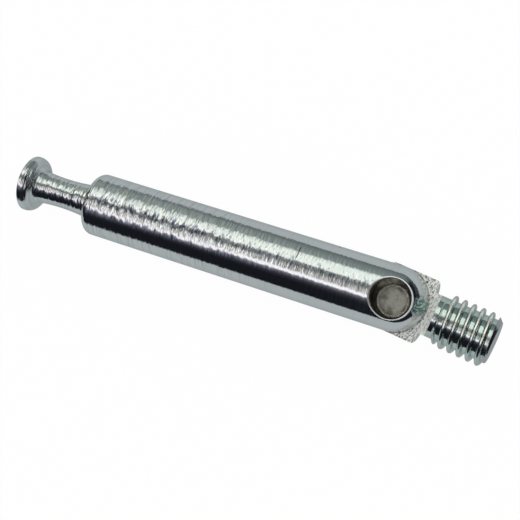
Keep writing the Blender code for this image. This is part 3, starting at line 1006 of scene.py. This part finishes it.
class HINGEDOWEL_OT_set_rivet(bpy.types.Operator):
    """Set the rivet with its two uneven heads"""

    bl_idname = "hinge_dowel.set_rivet"
    bl_label = "Set rivet"

    def execute(self, context):
        sizes = context.scene.dowel_rivet
        mesh = lathe("set_rivet", rivet_outline(sizes), sizes.segments)
        mesh.transform(Matrix.Rotation(-QUARTER, 4, "Y"))
        for vert in mesh.vertices:
            side = 1 if vert.co.z > 0 else -1
            if abs(vert.co.z) > sizes.seat - WELD:
                push = noise.noise(vert.co * EDGE_NOISE)
                radius = math.hypot(vert.co.x, vert.co.y)
                edge = 1 + push * sizes.unevenness / sizes.head_radius
                vert.co.x = vert.co.x * edge + (sizes.off_x if side > 0 else 0.0)
                vert.co.y = vert.co.y * edge + (sizes.off_y if side > 0 else 0.0)
                if abs(vert.co.z) > sizes.seat + WELD:
                    dent = noise.noise(vert.co * FACE_NOISE + FACE_NOISE_SHIFT)
                    calm = 1 - EDGE_CALM * radius / sizes.head_radius
                    vert.co.z += side * dent * sizes.unevenness * calm
        mesh.transform(Matrix.Translation(HINGE))
        mesh.materials.append(set_steel(context.scene.dowel_finish, sizes))
        rivet = show("set_rivet", mesh)
        # Recalculated normals leave this spool inside out, so its volume decides.
        close_shell(mesh)
        smooth(mesh, 50.0)
        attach(rivet, "dowel")
        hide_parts("hinge_rivet")
        return {"FINISHED"}


# Rows of the light tent, from its far side over the top to the picture's lower side. Each has
# an angle from straight up with tones for the hinge's and the stud's part, then an angle with
# tones for the shank's far part and the neck's part.
TENT_ROWS = (
    (-100.0, (0.13, 0.155, 0.155), (0.13, 0.16, 0.155),
     -100.0, (0.22, 0.25, 0.25), (0.30, 0.33, 0.32)),
    (-55.5, (0.28, 0.32, 0.31), (0.20, 0.26, 0.25),
     -50.0, (0.46, 0.50, 0.47), (0.42, 0.46, 0.42)),
    (-54.0, (0.95, 1.00, 0.93), (0.75, 0.88, 0.86),
     -47.0, (0.62, 0.64, 0.60), (1.10, 1.12, 1.04)),
    (-45.0, (1.06, 1.08, 1.01), (0.95, 1.05, 1.00),
     -36.0, (0.72, 0.75, 0.72), (1.50, 1.50, 1.42)),
    (-20.0, (1.06, 1.09, 1.02), (1.00, 1.05, 0.98),
     -26.0, (0.72, 0.75, 0.73), (1.50, 1.50, 1.45)),
    (-18.5, (0.09, 0.115, 0.15), (0.55, 0.56, 0.52),
     -19.0, (0.27, 0.29, 0.32), (0.50, 0.50, 0.48)),
    (-5.0, (0.11, 0.13, 0.155), (0.20, 0.20, 0.19),
     -10.0, (0.34, 0.36, 0.38), (0.01, 0.01, 0.015)),
    (6.0, (0.17, 0.165, 0.18), (0.75, 0.72, 0.68),
     3.0, (0.85, 0.87, 0.85), (1.45, 1.42, 1.38)),
    (15.5, (0.33, 0.31, 0.33), (0.80, 0.77, 0.76),
     12.0, (0.62, 0.62, 0.62), (1.45, 1.40, 1.38)),
    (17.5, (1.25, 1.18, 1.22), (1.15, 1.10, 1.15),
     15.0, (0.90, 0.90, 0.90), (1.35, 1.28, 1.34)),
    (26.0, (1.20, 1.15, 1.20), (1.10, 1.05, 1.12),
     26.5, (0.98, 0.96, 1.01), (0.95, 0.90, 0.98)),
    (28.0, (0.22, 0.20, 0.25), (0.22, 0.22, 0.27),
     31.0, (0.38, 0.39, 0.47), (0.30, 0.28, 0.35)),
    (34.0, (0.10, 0.09, 0.12), (0.08, 0.08, 0.10),
     37.0, (0.17, 0.18, 0.24), (0.08, 0.08, 0.11)),
    (41.0, (0.028, 0.030, 0.040), (0.03, 0.035, 0.04),
     46.0, (0.030, 0.033, 0.045), (0.020, 0.022, 0.03)),
    (52.0, (0.009, 0.010, 0.014), (0.015, 0.018, 0.02),
     55.0, (0.010, 0.011, 0.015), (0.010, 0.011, 0.015)),
    (100.0, (0.009, 0.010, 0.014), (0.02, 0.025, 0.025),
     100.0, (0.010, 0.012, 0.016), (0.010, 0.012, 0.016)),
)
TENT_ROW_STEPS = 4
TENT_END_ANGLES = range(-98, 99, 7)
WHITE = (1.0, 1.0, 1.0)
DARK_TONE = (0.012, 0.013, 0.018)
DARK_FLOOR_TONE = (0.13, 0.155, 0.155)
DAPPLED_SPAN = (-20.0, 14.0)
SOFTBOX_SPAN = (-52.0, -22.0)
STRIP_SPAN = (16.0, 26.0)

# The two flags on the floor: how far both reach, and the left end, the bend and the start of the
# one on the far side.
FLOOR_FLAG_REACH = 0.6
FAR_FLAG_LEFT = -0.30
FAR_FLAG_BEND = -0.10
FAR_FLAG_START = 0.12

# The mirrored floor is shaded near the dowel: from and up to these distances from its axis, and
# down to this share.
FLOOR_CONTACT = (3.0 * MM, 12.0 * MM)
CONTACT_SHADE = 0.8


def flag_material():
    """Shines in the tones that the flags' corners carry."""
    material = bpy.data.materials.new("flag_tone")
    sheet = Sheet.of_data(material)
    tone = sheet.wire("ShaderNodeVertexColor", {"layer_name": "tone"})
    sheet.add("ShaderNodeOutputMaterial", None, {"Surface": sheet.emission(tone)})
    return material


def tent_flags(studio):
    """Sheets round the object, seen only in its reflections."""
    radius = studio.tent_radius
    bm = bmesh.new()
    tone_layer = bm.loops.layers.float_color.new("tone")

    def sheet_face(corners):
        face = bm.faces.new([bm.verts.new(place) for place, _ in corners])
        for loop, (_, tone) in zip(face.loops, corners):
            loop[tone_layer] = (*tone, 1.0)

    def rim_point(degrees, x):
        turn = math.radians(degrees)
        return x, -radius * math.sin(turn), radius * math.cos(turn)

    stations = [(studio.tent_left, "neck", 1.0), (studio.tent_neck, "neck", 1.0)]
    count = round((studio.tent_near - studio.tent_far) / studio.panel)
    for i in range(count + 1):
        x = studio.tent_far + i * studio.panel
        part = "far" if x < studio.tent_turn else "near"
        contrast = studio.dapple_far if part == "far" else studio.dapple_near
        stations.append((x, part, 1.0 + (contrast if i % 2 else -contrast)))
    stations += [(studio.tent_stud, "stud", 1.0), (studio.tent_fade, "stud", 1.0),
                 (studio.tent_dark, "dark", 1.0), (studio.tent_right, "dark", 1.0)]
    rows = []
    for near_angle, near_tone, stud_tone, far_angle, far_tone, neck_tone in TENT_ROWS:
        tones = {"near": near_tone, "stud": stud_tone, "far": far_tone, "neck": neck_tone,
                 "dark": DARK_TONE}
        dappled = DAPPLED_SPAN[0] < far_angle < DAPPLED_SPAN[1]
        row = []
        for x, part, dapple in stations:
            degrees = far_angle if part in ("far", "neck") else near_angle
            row.append((degrees, x, Vector(tones[part]) * (dapple if dappled else 1.0)))
        rows.append(row)
    for upper, lower in zip(rows, rows[1:]):
        for i in range(TENT_ROW_STEPS):
            edges = []
            for share_along in (i / TENT_ROW_STEPS, (i + 1) / TENT_ROW_STEPS):
                edges.append([(rim_point(a[0] + (b[0] - a[0]) * share_along, a[1]),
                               a[2].lerp(b[2], share_along)) for a, b in zip(upper, lower)])
            for (a, b), (c, d) in zip(zip(edges[0], edges[0][1:]), zip(edges[1], edges[1][1:])):
                sheet_face([a, b, d, c])
    for x in (studio.tent_left, studio.tent_right):
        sheet_face([(rim_point(degrees, x), DARK_TONE) for degrees in TENT_END_ANGLES])
    low = FLOOR_LEVEL + FLAG_LIFT
    right, reach = studio.tent_right, FLOOR_FLAG_REACH
    sheet_face([((x, y, low), DARK_TONE) for x, y in (
        (studio.dark_floor, -reach), (right, -reach), (right, reach), (studio.dark_floor, reach))])
    sheet_face([((x, y, low), DARK_FLOOR_TONE) for x, y in (
        (FAR_FLAG_LEFT, FAR_FLAG_START), (FAR_FLAG_BEND, studio.dark_side),
        (right, studio.dark_side), (right, reach), (FAR_FLAG_LEFT, reach))])
    flags = show("tent_flags", plain_mesh("tent_flags", bm, flag_material()))
    flags.visible_camera = False
    flags.visible_diffuse = False
    flags.visible_shadow = False
    return flags


def tent_lamp(name, studio, span, tone):
    """A soft lamp for the dull surfaces, in step with a bright row of the tent."""
    middle = math.radians(sum(span) / 2)
    half = math.radians((span[1] - span[0]) / 2)
    data = bpy.data.lights.new(name, "AREA")
    data.shape = "RECTANGLE"
    data.size = studio.tent_right - studio.tent_left
    data.size_y = 2 * studio.tent_radius * math.tan(half)
    strongest = max(tone)
    data.color = tuple(part / strongest for part in tone)
    data.energy = strongest * math.pi * data.size * data.size_y
    lamp = show(name, data)
    away = Vector((0.0, -math.sin(middle), math.cos(middle)))
    distance = studio.tent_radius * math.cos(half)
    middle_x = (studio.tent_right + studio.tent_left) / 2
    lamp.location = Vector((middle_x, 0.0, 0.0)) + away * distance
    lamp.rotation_euler = (middle, 0.0, 0.0)
    lamp.visible_glossy = False


def studio_floor(studio):
    """A pale floor that the camera sees as white, apart from the object's shadow."""
    material = bpy.data.materials.new("pale_floor")
    sheet = Sheet.of_data(material)
    camera = sheet.rays("Camera")
    mirrored = sheet.rays("Glossy", "Transmission")
    paper = sheet.wire("ShaderNodeBsdfDiffuse", None, {"Color": opaque(studio.floor_tone)})
    across = sheet.split(sheet.wire("ShaderNodeTexCoord", output=3))[1]
    open_floor = sheet.between(sheet.math("ABSOLUTE", across), *FLOOR_CONTACT)
    near_contact = Vector(studio.mirrored_floor) * CONTACT_SHADE
    shown = sheet.blend(open_floor, near_contact, studio.mirrored_floor)
    bright = sheet.emission(sheet.blend(mirrored, WHITE, shown))
    shader = sheet.wire("ShaderNodeMixShader", None,
                        {0: sheet.clamp(camera * studio.white_share + mirrored),
                         1: paper, 2: bright})
    sheet.add("ShaderNodeOutputMaterial", None, {"Surface": shader})

    bm = bmesh.new()
    bmesh.ops.create_grid(bm, x_segments=1, y_segments=1, size=studio.floor_size / 2)
    mesh = plain_mesh("floor", bm, material)
    mesh.transform(Matrix.Translation((HINGE.x / 2, 0.0, FLOOR_LEVEL - FLOOR_DROP)))
    return show("floor", mesh)


def studio_world(studio):
    """White behind and round the object, and a softer level on dull surfaces."""
    world = bpy.data.worlds.new("studio")
    bpy.context.scene.world = world
    sheet = Sheet.of_data(world)
    level = (studio.room_light,) * 3
    tone = sheet.blend(sheet.rays("Camera", "Glossy", "Transmission"), level, WHITE)
    shader = sheet.wire("ShaderNodeBackground", None, {"Color": tone, "Strength": 1.0})
    sheet.add("ShaderNodeOutputWorld", None, {"Surface": shader})


def studio_camera(studio):
    """The camera at the photograph's viewing angle."""
    data = bpy.data.cameras.new("camera")
    data.lens = studio.lens
    data.clip_start = 10 * MM
    camera = show("camera", data)
    forward = (Vector(studio.aim) - Vector(studio.place)).normalized()
    right = (Vector((1.0, 0.0, 0.0)) - forward * forward.x).normalized()
    right = Matrix.Rotation(-studio.roll, 3, forward) @ right
    up = right.cross(forward)
    turn = Matrix((right, up, -forward)).transposed()
    camera.matrix_world = Matrix.Translation(studio.place) @ turn.to_4x4()
    bpy.context.scene.camera = camera


class HINGEDOWEL_OT_studio(bpy.types.Operator):
    """Set up the pale floor, the light tent and the camera"""

    bl_idname = "hinge_dowel.studio"
    bl_label = "Studio"

    def execute(self, context):
        studio = context.scene.dowel_studio
        studio_floor(studio)
        tent_flags(studio)
        tent_lamp("softbox", studio, SOFTBOX_SPAN, studio.softbox)
        tent_lamp("strip", studio, STRIP_SPAN, studio.strip)
        studio_world(studio)
        studio_camera(studio)
        context.scene.view_settings.view_transform = "Standard"
        return {"FINISHED"}


class HINGEDOWEL_PT_sidebar(bpy.types.Panel):
    """Sizes, finishes and steps of the hinge dowel"""

    bl_label = "Hinge Dowel"
    bl_space_type = "VIEW_3D"
    bl_region_type = "UI"
    bl_category = "Hinge Dowel"

    def draw(self, context):
        for step in OPERATORS:
            self.layout.operator(step.bl_idname)
        for slot_name, group in GROUPS.items():
            box = self.layout.box()
            box.label(text=group.__doc__)
            for prop in group.__annotations__:
                box.prop(getattr(context.scene, slot_name), prop)


GROUPS = {
    "dowel_sizes": DowelSizes,
    "dowel_lap": LapSizes,
    "dowel_stud": StudSizes,
    "dowel_rivet": RivetSizes,
    "dowel_finish": DowelFinish,
    "dowel_studio": StudioSettings,
}
OPERATORS = (
    HINGEDOWEL_OT_turned_dowel,
    HINGEDOWEL_OT_threaded_stud,
    HINGEDOWEL_OT_set_rivet,
    HINGEDOWEL_OT_studio,
)
CLASSES = (*GROUPS.values(), *OPERATORS, HINGEDOWEL_PT_sidebar)


def register():
    """Registers the classes and gives the scene its settings."""
    for cls in CLASSES:
        bpy.utils.register_class(cls)
    for slot_name, group in GROUPS.items():
        setattr(bpy.types.Scene, slot_name, PointerProperty(type=group))


def unregister():
    """Takes the settings and the classes away again."""
    for slot_name in GROUPS:
        delattr(bpy.types.Scene, slot_name)
    for cls in reversed(CLASSES):
        bpy.utils.unregister_class(cls)


def main():
    """Builds every piece and the studio."""
    register()
    bpy.ops.hinge_dowel.turned_dowel()
    bpy.ops.hinge_dowel.threaded_stud()
    bpy.ops.hinge_dowel.set_rivet()
    bpy.ops.hinge_dowel.studio()


if __name__ == "__main__":
    main()
